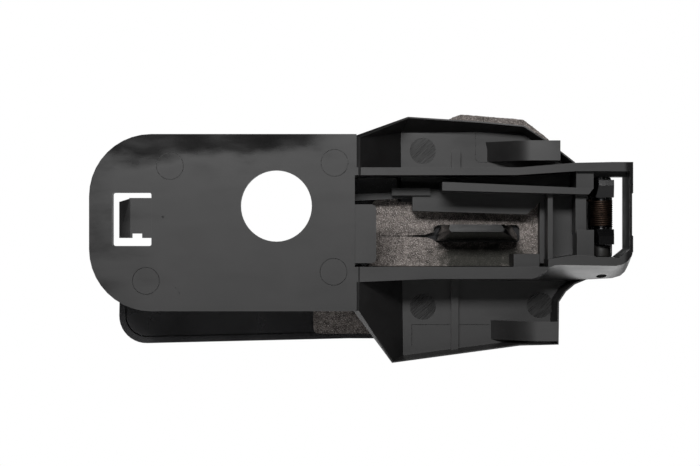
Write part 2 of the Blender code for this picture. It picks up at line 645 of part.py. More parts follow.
def build() -> None:
    """Makes every piece of the handle."""
    parts = make_collection("car_door_handle")
    black = make_material("moulded_black", (0.045, 0.044, 0.046), 0.5)
    arm_black = make_material("arm_black", (0.02, 0.02, 0.02), 0.35)
    gloss = make_material("gloss_black", (0.008, 0.008, 0.009), 0.12)
    foam_grey = make_material("foam_grey", (0.16, 0.14, 0.13), 0.95)
    steel = make_material("pin_steel", (0.55, 0.55, 0.56), 0.3, 1.0)
    wire = make_material("spring_wire", (0.3, 0.22, 0.17), 0.4, 1.0)
    rubber = make_material("buffer_rubber", (0.02, 0.02, 0.02), 0.8)
    nylon = make_material("nylon", (0.05, 0.05, 0.05), 0.55)
    base_housing(parts, black)
    moving = [lever_arm(parts, arm_black), grip_cover(parts, gloss), head_foam(parts, foam_grey)]
    moving += [cover_screw(i + 1, place, parts, steel) for i, place in enumerate(SCREWS)]
    moving += [rest_buffer(name, place, parts, rubber)
               for name, place in zip(("rest_buffer_upper", "rest_buffer_lower"), BUFFERS)]
    pivot_pin(parts, steel)
    pin_clip(parts, steel)
    ring("spacer_lower", 3.5, -13.3, -8.9, parts, nylon)
    return_spring(parts, wire)
    hang_on_pivot(moving, parts)
    shade(parts)


clear_scene()
HELPERS = make_collection("shapes_and_cutters", hidden=True)
build()
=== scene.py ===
"""The looks of an exterior car door handle, seen from the side that sits against the door.

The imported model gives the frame. Each class below is one sub-assembly: it keeps its sizes in millimetres as
fields, builds its meshes in the frame's place and dresses them. Depth runs along +Y, out of the door.
"""

import logging
import math
from contextlib import contextmanager
from dataclasses import dataclass
from enum import Enum
from typing import Callable, Iterator, Sequence

import bmesh
import bpy
from mathutils import Matrix, Vector


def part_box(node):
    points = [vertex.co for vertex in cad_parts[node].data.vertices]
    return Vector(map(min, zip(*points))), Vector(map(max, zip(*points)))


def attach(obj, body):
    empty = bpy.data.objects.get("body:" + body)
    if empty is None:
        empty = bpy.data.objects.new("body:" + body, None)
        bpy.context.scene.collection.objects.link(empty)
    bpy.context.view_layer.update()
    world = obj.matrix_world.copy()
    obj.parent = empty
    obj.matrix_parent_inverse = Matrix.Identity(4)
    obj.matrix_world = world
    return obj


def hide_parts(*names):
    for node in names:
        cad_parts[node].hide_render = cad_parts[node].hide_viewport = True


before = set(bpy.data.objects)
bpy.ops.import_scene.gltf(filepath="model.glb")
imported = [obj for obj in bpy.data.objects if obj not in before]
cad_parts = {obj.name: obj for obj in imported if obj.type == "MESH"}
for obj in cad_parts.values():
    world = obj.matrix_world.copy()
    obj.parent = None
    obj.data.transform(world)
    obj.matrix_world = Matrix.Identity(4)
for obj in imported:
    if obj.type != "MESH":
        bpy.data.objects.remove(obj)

MM = 0.001
SQUARE_ON = 0.9990
LOG = logging.getLogger("door_handle")
Object = bpy.types.Object
Socket = bpy.types.NodeSocket
Point = tuple[float, float]
Span = tuple[float, float]
Corner = tuple[float, float, float]
Place = tuple[float, float, float]
Color = tuple[float, float, float]


class Pick(Enum):
    """What edit mode selects."""

    VERT = "VERT"
    EDGE = "EDGE"
    FACE = "FACE"


class Body(Enum):
    """The two bodies of the handle."""

    BASE = "base"
    LEVER = "lever"


# ---- Modelling helpers ----


def activate(obj: Object) -> None:
    """Deselects everything, then selects one object and makes it active."""
    bpy.ops.object.select_all(action="DESELECT")
    obj.select_set(True)
    bpy.context.view_layer.objects.active = obj


@contextmanager
def editing(obj: Object, pick: Pick, chosen: Callable[..., bool]) -> Iterator[None]:
    """Opens edit mode with only the chosen elements selected, and closes it afterwards.

    Args:
        obj: the mesh object to edit.
        pick: whether vertices, edges or faces are chosen.
        chosen: says of each bmesh element whether it is selected.
    """
    activate(obj)
    bpy.ops.object.mode_set(mode="EDIT")
    bpy.ops.mesh.select_mode(type=pick.value)
    bpy.ops.mesh.select_all(action="DESELECT")
    mesh = bmesh.from_edit_mesh(obj.data)
    elements = {Pick.VERT: mesh.verts, Pick.EDGE: mesh.edges, Pick.FACE: mesh.faces}[pick]
    for element in [item for item in elements if chosen(item)]:
        element.select_set(True)
    bmesh.update_edit_mesh(obj.data)
    yield
    bpy.ops.object.mode_set(mode="OBJECT")


def every(_: object) -> bool:
    """Chooses every element."""
    return True


def middle(edge: bmesh.types.BMEdge) -> Vector:
    """The middle of an edge, in millimetres."""
    return (edge.verts[0].co + edge.verts[1].co) / (2 * MM)


def apply_modifier(obj: Object, kind: str, **settings: object) -> None:
    """Adds a modifier with these settings and applies it.

    Args:
        obj: the object that gets it.
        kind: the modifier's type, such as BEVEL.
        settings: the modifier's properties.
    """
    modifier = obj.modifiers.new(kind.title(), kind)
    for name, value in settings.items():
        setattr(modifier, name, value)
    activate(obj)
    bpy.ops.object.modifier_apply(modifier=modifier.name)


def cut(obj: Object, others: Sequence[Object]) -> None:
    """Cuts solids out of an object one after another, and removes them."""
    for other in others:
        apply_modifier(obj, "BOOLEAN", operation="DIFFERENCE", solver="EXACT", object=other)
        bpy.data.objects.remove(other)


def place_in_mesh(obj: Object) -> None:
    """Applies the object's place, turn and size to its mesh."""
    activate(obj)
    bpy.ops.object.transform_apply(location=True, rotation=True, scale=True)


def added(name: str) -> Object:
    """Names the primitive that was just added and applies its place to its mesh."""
    obj = bpy.context.object
    obj.name = obj.data.name = name
    place_in_mesh(obj)
    return obj


def smooth(obj: Object, degrees: float = 32.0) -> None:
    """Shades smooth and keeps edges sharper than this angle."""
    activate(obj)
    bpy.ops.object.shade_smooth_by_angle(angle=math.radians(degrees))


def round_corners(corners: Sequence[Corner], steps: int) -> list[Point]:
    """Draws each corner's radius as an arc.

    Args:
        corners: (x, z, radius) of each corner, anticlockwise.
        steps: segments in a quarter turn.

    Returns:
        The outline's points.
    """
    points: list[Point] = []
    for index, (x, z, radius) in enumerate(corners):
        here = Vector((x, z))
        before = (Vector(corners[index - 1][:2]) - here).normalized()
        after = (Vector(corners[(index + 1) % len(corners)][:2]) - here).normalized()
        half = math.acos(max(-1.0, min(1.0, before.dot(after)))) / 2
        centre = here + (before + after).normalized() * (radius / math.sin(half))
        first = here + before * (radius / math.tan(half)) - centre
        sweep = math.pi - 2 * half
        turn = 1 if first.x * (here - centre).y - first.y * (here - centre).x > 0 else -1
        start = math.atan2(first.y, first.x)
        count = max(2, math.ceil(steps * sweep / (math.pi / 2)))
        for step in range(count + 1):
            angle = start + turn * sweep * step / count
            points.append((centre.x + radius * math.cos(angle), centre.y + radius * math.sin(angle)))
    return points


def rectangle(left: float, low: float, right: float, high: float) -> list[Point]:
    """The corners of a rectangle, anticlockwise."""
    return [(left, low), (right, low), (right, high), (left, high)]


def inset(corners: Sequence[Corner], distance: float) -> list[Corner]:
    """Moves an anticlockwise outline inwards.

    Args:
        corners: (x, z, radius) of each corner.
        distance: how far each side moves.

    Returns:
        The new corners.
    """
    moved: list[Corner] = []
    for index, (x, z, radius) in enumerate(corners):
        here = Vector((x, z))
        along = (here - Vector(corners[index - 1][:2])).normalized()
        onward = (Vector(corners[(index + 1) % len(corners)][:2]) - here).normalized()
        normals = Vector((-along.y, along.x)), Vector((-onward.y, onward.x))
        shift = (normals[0] + normals[1]) * (distance / (1 + normals[0].dot(normals[1])))
        convex = along.x * onward.y - along.y * onward.x > 0
        moved.append((*(here + shift), max(radius - distance, 0.4) if convex else radius + distance))
    return moved


def outline_plate(name: str, points: Sequence[Point], near: float, far: float) -> Object:
    """A flat circle whose corners are moved onto an outline, then extruded away from the door.

    Args:
        name: the object's name.
        points: the outline in X and Z.
        near: the depth of the face towards the door.
        far: the depth of the other face.

    Returns:
        The closed solid.
    """
    bpy.ops.mesh.primitive_circle_add(vertices=len(points), radius=0.01, fill_type="NGON")
    obj = added(name)
    for vertex, (x, z) in zip(obj.data.vertices, points):
        vertex.co = (x * MM, near * MM, z * MM)
    with editing(obj, Pick.FACE, every):
        bpy.ops.mesh.extrude_region_move(TRANSFORM_OT_translate={"value": (0.0, (far - near) * MM, 0.0)})
        bpy.ops.mesh.select_all(action="SELECT")
        bpy.ops.mesh.normals_make_consistent(inside=False)
    return obj


def outward_rod(
    name: str, place: Point, radius: float, near: float, far: float, sides: int,
) -> Object:
    """A cylinder along Y, with its place in its mesh.

    Args:
        name: the object's name.
        place: its axis in X and Z.
        radius: its radius.
        near: the depth of its first end.
        far: the depth of its other end.
        sides: how many sides it has.

    Returns:
        The cylinder.
    """
    bpy.ops.mesh.primitive_cylinder_add(
        vertices=sides, radius=radius * MM, depth=(far - near) * MM,
        location=(place[0] * MM, (near + far) / 2 * MM, place[1] * MM), rotation=(math.pi / 2, 0.0, 0.0),
    )
    return added(name)


def slice_up(obj: Object, axis: int, spacing: float) -> None:
    """Cuts edges across the whole mesh at equal spacings along one axis, so that its flat faces can bend.

    Args:
        obj: the mesh object.
        axis: 0, 1 or 2.
        spacing: the distance between cuts.
    """
    places = [vertex.co[axis] / MM for vertex in obj.data.vertices]
    first = math.floor(min(places) / spacing) + 1
    count = math.ceil(max(places) / spacing) - first
    normal = [0.0, 0.0, 0.0]
    normal[axis] = 1.0
    with editing(obj, Pick.FACE, every):
        for index in range(count):
            point = [0.0, 0.0, 0.0]
            point[axis] = (first + index) * spacing * MM
            bpy.ops.mesh.select_all(action="SELECT")
            bpy.ops.mesh.bisect(plane_co=point, plane_no=normal)


def edge_distance(points: Sequence[Point], x: float, z: float) -> float:
    """The distance from a place to the nearest side of a closed outline."""
    here = Vector((x, z))
    best = math.inf
    for index, end in enumerate(points):
        start = Vector(points[index - 1])
        side = Vector(end) - start
        share = max(0.0, min(1.0, (here - start).dot(side) / max(side.length_squared, 1e-12)))
        best = min(best, (here - start - side * share).length)
    return best


def merged_copy(node: str, name: str) -> Object:
    """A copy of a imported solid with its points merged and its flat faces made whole.

    Args:
        node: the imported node's name.
        name: the new object's name.

    Returns:
        The copy, riding on nothing yet.
    """
    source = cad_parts[node]
    obj = bpy.data.objects.new(name, source.data.copy())
    obj.data.name = name
    obj.data.materials.clear()
    bpy.context.scene.collection.objects.link(obj)
    with editing(obj, Pick.VERT, every):
        bpy.ops.mesh.remove_doubles(threshold=0.002 * MM)
        bpy.ops.mesh.customdata_custom_splitnormals_clear()
        bpy.ops.mesh.dissolve_limited(angle_limit=math.radians(0.6), delimit={"NORMAL"})
    return obj


def soften_edges(obj: Object, width: float, degrees: float, segments: int = 2) -> None:
    """Rounds every edge sharper than an angle, as a mould leaves it."""
    apply_modifier(
        obj, "BEVEL", width=width * MM, segments=segments, limit_method="ANGLE",
        angle_limit=math.radians(degrees), use_clamp_overlap=True, miter_outer="MITER_SHARP",
    )


def even_normals(obj: Object, degrees: float = 32.0) -> None:
    """Shades smooth with normals that follow the large flat faces, so that they stay flat to the eye."""
    smooth(obj, degrees)
    apply_modifier(obj, "WEIGHTED_NORMAL", keep_sharp=True, weight=60)
    normals = [Vector(corner.vector) for corner in obj.data.corner_normals]
    for face in obj.data.polygons:
        if max(abs(part) for part in face.normal) > SQUARE_ON:
            square = Vector([float(round(part)) for part in face.normal])
            for index in face.loop_indices:
                normals[index] = square
    obj.data.normals_split_custom_set(normals)


# ---- Finishes ----


class Recipe:
    """A material's nodes, with a short call for each kind that the finishes share."""

    def __init__(self, name: str) -> None:
        """Starts a material with an empty Principled shader."""
        self.material = bpy.data.materials.new(name)
        self.material.use_nodes = True
        self.tree = self.material.node_tree
        self.shader = self.tree.nodes["Principled BSDF"]
        self.place = self.tree.nodes.new("ShaderNodeTexCoord").outputs["Object"]

    def feed(self, socket: Socket, value: object) -> None:
        """Links another node's output into a socket, or sets the socket's value."""
        if isinstance(value, Socket):
            self.tree.links.new(value, socket)
        else:
            socket.default_value = value

    def node(self, kind: str, **inputs: object) -> bpy.types.Node:
        """Adds a node and fills its inputs with values or with other nodes' outputs.

        Args:
            kind: the node type's name after ShaderNode.
            inputs: input names, with underscores for spaces, and what goes in.

        Returns:
            The node.
        """
        made = self.tree.nodes.new(f"ShaderNode{kind}")
        for name, value in inputs.items():
            self.feed(made.inputs[name.replace("_", " ")], value)
        return made

    def scaled(self, scale: Sequence[float], turn: Sequence[float] = (0.0, 0.0, 0.0)) -> Socket:
        """The place stretched by a scale for each axis and turned."""
        return self.node("Mapping", Vector=self.place, Scale=scale, Rotation=turn).outputs["Vector"]

    def noise(self, size: float, detail: float = 3.0, vector: Socket | None = None) -> Socket:
        """Noise whose lumps are about this size in millimetres."""
        return self.node(
            "TexNoise", Vector=vector or self.place, Scale=1.0 / (size * MM), Detail=detail,
        ).outputs["Fac"]

    def remap(self, value: Socket, low: float, high: float, start: float = 0.35, end: float = 0.65) -> Socket:
        """Carries a value from start..end to low..high, and holds it at the ends."""
        return self.node(
            "MapRange", Value=value, From_Min=start, From_Max=end, To_Min=low, To_Max=high,
        ).outputs["Result"]

    def between(self, place: Socket, low: float, high: float, span: Span) -> Socket:
        """As remap, for a place along one axis and a span in millimetres."""
        return self.remap(place, low, high, span[0] * MM, span[1] * MM)

    def edges(self, reach: float) -> Socket:
        """How far the surface turns nearby: nothing on a flat, more at an edge.

        Args:
            reach: how far it looks, in millimetres.

        Returns:
            The share of turning.
        """
        both = self.tree.nodes.new("ShaderNodeVectorMath")
        both.operation = "DOT_PRODUCT"
        self.feed(both.inputs[0], self.node("Bevel", Radius=reach * MM).outputs["Normal"])
        self.feed(both.inputs[1], self.node("NewGeometry").outputs["Normal"])
        return self.maths("SUBTRACT", 1.0, both.outputs["Value"])

    def maths(self, operation: str, first: object, second: object) -> Socket:
        """One arithmetic step.

        Args:
            operation: the step, such as MULTIPLY.
            first: the first value or socket.
            second: the second value or socket.

        Returns:
            The result.
        """
        made = self.tree.nodes.new("ShaderNodeMath")
        made.operation = operation
        for socket, value in zip(made.inputs, (first, second)):
            self.feed(socket, value)
        return made.outputs[0]

    def mixed(self, share: Socket, first: object, second: object) -> Socket:
        """Mixes two colours.

        Args:
            share: how much of the second colour there is.
            first: the first colour or socket.
            second: the second colour or socket.

        Returns:
            The mixed colour.
        """
        made = self.tree.nodes.new("ShaderNodeMix")
        made.data_type = "RGBA"
        self.tree.links.new(share, made.inputs["Factor"])
        for socket, value in zip((made.inputs[6], made.inputs[7]), (first, second)):
            self.feed(socket, value if isinstance(value, Socket) else (*value, 1.0))
        return made.outputs[2]

    def bumps(self, *layers: tuple[Socket, float, float]) -> Socket:
        """Stacks bumps.

        Args:
            layers: (height, depth in millimetres, strength) of each bump.

        Returns:
            The bumped normal.
        """
        normal = None
        for height, depth, strength in layers:
            made = self.node("Bump", Height=height, Distance=depth * MM, Strength=strength)
            if normal is not None:
                self.tree.links.new(normal, made.inputs["Normal"])
            normal = made.outputs["Normal"]
        return normal

    def finish(self, inputs: dict[str, object]) -> bpy.types.Material:
        """Fills the shader.

        Args:
            inputs: what goes into each of its inputs: an output where it varies, a value where it doesn't.

        Returns:
            The material.
        """
        for name, value in inputs.items():
            self.feed(self.shader.inputs[name], value)
        return self.material


@dataclass(frozen=True)
class MouldedPlastic:
    """Injection-moulded black plastic: satin, faintly mottled, with flow marks, fine grain and edges
    lightened, partly as rubbed wear and partly as a painted highlight.

    Its polished band and patches are placed in millimetres, each from where it starts to where it ends.
    """

    name: str
    color: Color
    deep: Color
    roughness: float
    swing: float = 0.06
    specular: float = 0.5
    grain: float = 0.16
    grain_depth: float = 0.010
    # How much lighter the edges are: partly rubbed wear, partly a painted highlight.
    edge_rub_and_highlight: float = 0.02
    polish: float = 0.0
    upper_band: Span = (30.0, 40.0)
    cloud_size: float = 15.0
    cloud_height: float = 22.0
    plate_end: Span = (40.0, 62.0)
    left_patch: Span = (-40.0, -12.0)
    right_bar: Span = (163.6, 165.4)
    near_side: Span = (1.0, 3.0)

    def material(self) -> bpy.types.Material:
        """Returns the material."""
        recipe = Recipe(self.name)
        patches = recipe.remap(recipe.noise(38.0, 3.0), 0.0, 1.0, 0.36, 0.64)
        flow = recipe.noise(9.0, 4.0, recipe.scaled((0.35, 1.0, 1.0), (0.0, 0.25, 0.0)))
        grain = recipe.noise(self.grain, 2.0)
        body = recipe.mixed(patches, self.deep, self.color)
        flecks = recipe.remap(grain, 0.0, 0.35, 0.55, 0.75)
        body = recipe.mixed(flecks, body, tuple(value * 1.7 for value in self.color))
        # Edges lightened in the colour: partly rubbed wear, partly a painted highlight along the silhouettes.
        edge_wear_and_highlight = recipe.remap(recipe.edges(0.35), 0.0, 0.8, 0.03, 0.22)
        body = recipe.mixed(edge_wear_and_highlight, body, tuple(value + self.edge_rub_and_highlight for value in self.color))
        rough = recipe.remap(flow, self.roughness - self.swing, self.roughness + self.swing)
        if self.polish > 0.0:
            rough = recipe.maths("SUBTRACT", rough, self.polished(recipe))
        normal = recipe.bumps((flow, 0.25, 0.12), (grain, self.grain_depth, 0.5))
        return recipe.finish({
            "Base Color": body, "Roughness": rough, "Normal": normal, "Specular IOR Level": self.specular,
        })

    def polished(self, recipe: Recipe) -> Socket:
        """How much smoother the plate is along its upper edge, where the mould's steel was polished.

        Args:
            recipe: the material under way.

        Returns:
            What comes off the roughness.
        """
        parts = recipe.node("SeparateXYZ", Vector=recipe.place).outputs
        cloud = recipe.noise(self.cloud_size, 5.0, recipe.scaled((0.55, 1.0, 1.0)))
        height = recipe.maths("ADD", parts["Z"], recipe.maths("MULTIPLY", cloud, self.cloud_height * MM))
        band = recipe.between(height, 0.0, self.polish, self.upper_band)
        plate = recipe.between(parts["X"], 1.0, 0.0, self.plate_end)
        left = recipe.between(parts["X"], 0.4, 0.0, self.left_patch)
        on_plate = recipe.between(parts["Y"], 1.0, 0.0, self.near_side)
        wanted = recipe.maths("MAXIMUM", recipe.maths("MULTIPLY", band, plate),
                              recipe.maths("MULTIPLY", left, self.polish))
        bar = recipe.between(parts["X"], 0.0, self.polish, self.right_bar)
        wanted = recipe.maths("MAXIMUM", wanted, bar)
        return recipe.maths("MULTIPLY", wanted, on_plate)


@dataclass(frozen=True)
class GroundMark:
    """Plastic that copies the ground end of a mould pin: darker, with fine parallel scratches."""

    name: str
    color: Color
    roughness: float
    slant: float = 0.75

    def material(self) -> bpy.types.Material:
        """Returns the material."""
        recipe = Recipe(self.name)
        turned = recipe.scaled((1.0, 1.0, 1.0), (0.0, self.slant, 0.0))
        along = recipe.node("Mapping", Vector=turned, Scale=(0.05, 1.0, 1.0)).outputs["Vector"]
        scratches = recipe.noise(0.28, 2.0, along)
        light = tuple(value * 2.2 for value in self.color)
        body = recipe.mixed(recipe.remap(scratches, 0.0, 1.0, 0.4, 0.7), self.color, light)
        rough = recipe.remap(scratches, self.roughness - 0.03, self.roughness + 0.03)
        return recipe.finish({
            "Base Color": body, "Roughness": rough, "Normal": recipe.bumps((scratches, 0.03, 0.6)),
        })


@dataclass(frozen=True)
class GlossPaint:
    """Piano-black lacquer: a deep base under a clear coat, with orange peel and a little dust."""

    name: str
    color: Color = (0.021, 0.021, 0.0225)

    def material(self) -> bpy.types.Material:
        """Returns the material."""
        recipe = Recipe(self.name)
        peel = recipe.noise(2.2, 2.0)
        dust = recipe.remap(recipe.noise(0.35, 1.0), 0.0, 1.0, 0.70, 0.78)
        body = recipe.mixed(dust, self.color, (0.05, 0.05, 0.05))
        smear = recipe.remap(recipe.noise(16.0, 4.0), 0.16, 0.28)
        return recipe.finish({
            "Base Color": body, "Roughness": smear, "Normal": recipe.bumps((peel, 0.02, 0.25)),
            "Coat Weight": 0.8, "Coat Roughness": 0.05, "Specular IOR Level": 0.5,
        })


@dataclass(frozen=True)
class CutFoam:
    """Open-cell sealing foam, cut from a block: brown-grey and pitted, with painted glints on its cell walls,
    painted shade in its pits and a painted shadow below the tongue.
    """

    name: str
    color: Color
    # The foam's darker tone, used also for the painted shade in its pits.
    deep: Color
    # The colour of the painted glints on the cell walls.
    painted_glint: Color
    cell: float = 0.55
    # Painted shadow of the tongue: a dark colour laid on the foam in a ragged patch below the mouth, placed
    # and sized in millimetres.
    tongue_shadow: Color = (0.014, 0.015, 0.011)
    tongue_shadow_place: Point = (111.0, -14.0)
    tongue_shadow_reach: Span = (24.0, 8.0)

    def material(self) -> bpy.types.Material:
        """Returns the material."""
        recipe = Recipe(self.name)
        cells = recipe.node("TexVoronoi", Vector=recipe.place, Scale=1.0 / (self.cell * MM), Randomness=1.0)
        pits = recipe.remap(cells.outputs["Distance"], 1.0, 0.0, 0.1, 0.75)
        clumps = recipe.noise(2.4, 4.0)
        crumbs_and_glints = recipe.noise(0.28, 2.0)
        body = recipe.mixed(recipe.remap(clumps, 0.0, 1.0, 0.34, 0.62), self.deep, self.color)
        # Painted glints: bright flecks mixed into the colour where the cell walls would catch the light; the
        # same noise also gives real bumps.
        body = recipe.mixed(recipe.remap(crumbs_and_glints, 0.0, 0.8, 0.5, 0.68), body, self.painted_glint)
        # Painted shade: the pits of the open cells are darkened towards the deep colour.
        body = recipe.mixed(recipe.remap(pits, 0.55, 0.0, 0.0, 0.5), body, self.deep)
        # Painted shadow below the tongue.
        body = recipe.mixed(self.tongue_shadow_share(recipe), body, self.tongue_shadow)
        normal = recipe.bumps((clumps, 0.5, 0.5), (pits, 0.25, 0.7), (crumbs_and_glints, 0.12, 0.6))
        return recipe.finish({
            "Base Color": body, "Normal": normal, "Roughness": 0.82, "Specular IOR Level": 0.35,
            "Sheen Weight": 0.15, "Sheen Roughness": 0.5,
        })

    def tongue_shadow_share(self, recipe: Recipe) -> Socket:
        """How much painted shadow of the tongue darkens the foam below the mouth.

        Args:
            recipe: the material under way.

        Returns:
            The share of grease.
        """
        (x, z), (wide, tall) = self.tongue_shadow_place, self.tongue_shadow_reach
        parts = recipe.node("SeparateXYZ", Vector=recipe.place).outputs
        across = recipe.between(parts["X"], -1.0, 1.0, (x - wide, x + wide))
        up = recipe.between(parts["Z"], -1.0, 1.0, (z - tall, z + tall))
        far = recipe.maths("ADD", recipe.maths("MULTIPLY", across, across), recipe.maths("MULTIPLY", up, up))
        ragged = recipe.maths("ADD", far, recipe.remap(recipe.noise(3.5, 4.0), -0.25, 0.25))
        return recipe.remap(ragged, 0.9, 0.0, 0.25, 0.95)


@dataclass(frozen=True)
class Metal:
    """Drawn or plated metal with fine lines along it and stains."""

    name: str
    color: Color
    stain: Color
    roughness: float
    lines: Place = (1.0, 1.0, 0.15)

    def material(self) -> bpy.types.Material:
        """Returns the material."""
        recipe = Recipe(self.name)
        drawn = recipe.noise(0.3, 3.0, recipe.scaled(self.lines))
        stains = recipe.remap(recipe.noise(2.6, 4.0), 0.0, 1.0, 0.42, 0.66)
        body = recipe.mixed(stains, self.color, self.stain)
        rough = recipe.remap(drawn, self.roughness - 0.08, self.roughness + 0.1)
        return recipe.finish({
            "Base Color": body, "Roughness": rough, "Normal": recipe.bumps((drawn, 0.01, 0.4)),
            "Metallic": 1.0,
        })


@dataclass(frozen=True)
class SoftMatte:
    """Rubber or nylon: matte, with a bloom and a fine skin."""

    name: str
    color: Color
    bloom: Color
    roughness: float
    skin: float = 0.4

    def material(self) -> bpy.types.Material:
        """Returns the material."""
        recipe = Recipe(self.name)
        skin = recipe.noise(self.skin, 3.0)
        body = recipe.mixed(recipe.remap(recipe.noise(3.0, 4.0), 0.0, 1.0, 0.4, 0.7), self.color, self.bloom)
        rough = recipe.remap(skin, self.roughness - 0.08, self.roughness + 0.08)
        return recipe.finish({
            "Base Color": body, "Roughness": rough, "Normal": recipe.bumps((skin, 0.03, 0.5)),
            "Specular IOR Level": 0.4,
        })


class Finishes:
    """One material of each finish, shared by the pieces."""

    def __init__(self) -> None:
        """Makes every material."""
        self.housing = MouldedPlastic(
            "housing_black", (0.0115, 0.0111, 0.0112), (0.0070, 0.0069, 0.0071), 0.48, polish=0.30,
        ).material()
        self.arm = MouldedPlastic(
            "arm_black", (0.0040, 0.0040, 0.0042), (0.0018, 0.0018, 0.0020), 0.16,
            swing=0.02, edge_rub_and_highlight=0.006, grain=0.3, grain_depth=0.004,
        ).material()
        self.mark = GroundMark("pin_mark", (0.0085, 0.0084, 0.0084), 0.29).material()
        self.gloss = GlossPaint("gloss_black").material()
        self.foam = CutFoam(
            "foam", (0.185, 0.161, 0.148), (0.050, 0.042, 0.037), (0.66, 0.60, 0.57),
        ).material()
        self.steel = Metal("pin_steel", (0.24, 0.24, 0.25), (0.13, 0.125, 0.12), 0.34).material()
        self.wire = Metal(
            "spring_wire", (0.042, 0.027, 0.020), (0.014, 0.010, 0.008), 0.50, (1.0, 1.0, 1.0),
        ).material()
        self.zinc = Metal(
            "screw_plating", (0.55, 0.56, 0.58), (0.40, 0.38, 0.34), 0.34, (1.0, 0.2, 1.0),
        ).material()
        self.rubber = SoftMatte(
            "buffer_rubber", (0.016, 0.016, 0.016), (0.035, 0.034, 0.033), 0.72,
        ).material()
        self.nylon = SoftMatte("bush_nylon", (0.008, 0.008, 0.008), (0.016, 0.015, 0.014), 0.5).material()


def dress(obj: Object, material: bpy.types.Material, body: Body, slot: str, *nodes: str) -> None:
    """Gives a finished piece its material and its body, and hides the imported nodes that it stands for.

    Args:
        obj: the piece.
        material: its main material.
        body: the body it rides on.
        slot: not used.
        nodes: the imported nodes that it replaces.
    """
    if obj.data.materials:
        obj.data.materials[0] = material
    else:
        obj.data.materials.append(material)
    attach(obj, body.value)
    if nodes:
        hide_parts(*nodes)
    LOG.info("%s: %d faces on %s", obj.name, len(obj.data.polygons), body.value)


# ---- Sub-assemblies ----


@dataclass
class BaseMoulding:
    """The fixed black moulding, with softened edges and the marks that its mould left."""

    edge_radius: float = 0.22
    mark_radius: float = 5.2
    mark_depth: float = 0.16
    plate_marks: tuple[Point, ...] = ((-11.6, 21.8), (-20.9, -22.6), (52.0, 23.0), (51.6, -19.1))
    floor_marks: tuple[Point, ...] = ((87.0, 28.6), (87.0, -33.5), (133.6, -32.8))
    floor_depth: float = 24.0
    seam_width: float = 0.36
    seam_area: float = 12.0
    floor_slack: Span = (-1.35, 0.45)
    seams: tuple[tuple[Point, ...], ...] = (
        ((108.0, 36.8), (108.0, 25.4), (109.0, 24.2), (113.0, 24.0)),
        ((82.6, -49.0), (82.6, -40.6), (97.8, -40.6)),
        ((101.6, -40.6), (113.4, -40.6)),
    )
    pits: tuple[Corner, ...] = ((-14.3, 2.1, 0.55), (-8.0, -27.2, 0.35), (-9.4, -25.3, 0.3))

    def build(self, finishes: Finishes) -> None:
        """Makes the moulding, with its pocket floor drawn flat, and dresses it."""
        shell = merged_copy("base_housing", "base_moulding")
        for vertex in shell.data.vertices:
            if self.floor_slack[0] < vertex.co.y / MM - self.floor_depth < self.floor_slack[1]:
                vertex.co.y = self.floor_depth * MM
        soften_edges(shell, self.edge_radius, 34.0)
        cut(shell, self.mark_cutters())
        even_normals(shell)
        shell.data.materials.append(finishes.housing)
        shell.data.materials.append(finishes.mark)
        for face in shell.data.polygons:
            face.material_index = int(self.is_ground(face))
        dress(shell, finishes.housing, Body.BASE, "moulded_black", "base_housing")

    def mark_cutters(self) -> list[Object]:
        """Shallow discs and grooves where pins, slides and inserts met the plastic.

        Returns:
            The cutters.
        """
        near, floor = self.mark_depth, self.floor_depth + self.mark_depth
        discs = [self.ring(place, near) for place in self.plate_marks]
        discs += [outward_rod("floor_mark", place, self.mark_radius, floor - 2.0, floor, 64)
                  for place in self.floor_marks]
        discs += [outward_rod("pit", (x, z), radius, -1.0, near, 16) for x, z, radius in self.pits]
        return discs + [
            self.groove(start, end, floor) for seam in self.seams for start, end in zip(seam, seam[1:])
        ]

    def ring(self, place: Point, depth: float) -> Object:
        """A thin tube that cuts the outline of a pin mark.

        Args:
            place: the mark's centre, in X and Z.
            depth: how deep it cuts.

        Returns:
            The cutter.
        """
        half = self.seam_width / 2
        ring = outward_rod("ring", place, self.mark_radius + half, -1.0, depth, 64)
        cut(ring, [outward_rod("ring_core", place, self.mark_radius - half, -2.0, 1.0, 64)])
        return ring

    def groove(self, start: Point, end: Point, floor: float) -> Object:
        """A thin bar that cuts one straight stretch of a seam.

        Args:
            start: where the stretch starts, in X and Z.
            end: where it ends.
            floor: how deep it cuts.

        Returns:
            The cutter.
        """
        along = (Vector(end) - Vector(start)).normalized() * self.seam_width / 2
        side = Vector((-along.y, along.x))
        first, last = Vector(start) - along, Vector(end) + along
        points = [tuple(point) for point in (first - side, last - side, last + side, first + side)]
        return outline_plate("groove", points, floor - 1.5, floor)

    def is_ground(self, face: bpy.types.MeshPolygon) -> bool:
        """Whether a face is the bottom of a pin mark, a seam or a pit."""
        centre = face.center / MM
        depth = centre.y - self.mark_depth
        if face.normal.y > -0.9 or min(abs(depth), abs(depth - self.floor_depth)) > 0.03:
            return False
        if face.area < self.seam_area * MM * MM:
            return True
        return any(math.hypot(centre.x - x, centre.z - z) < self.mark_radius for x, z in self.floor_marks)


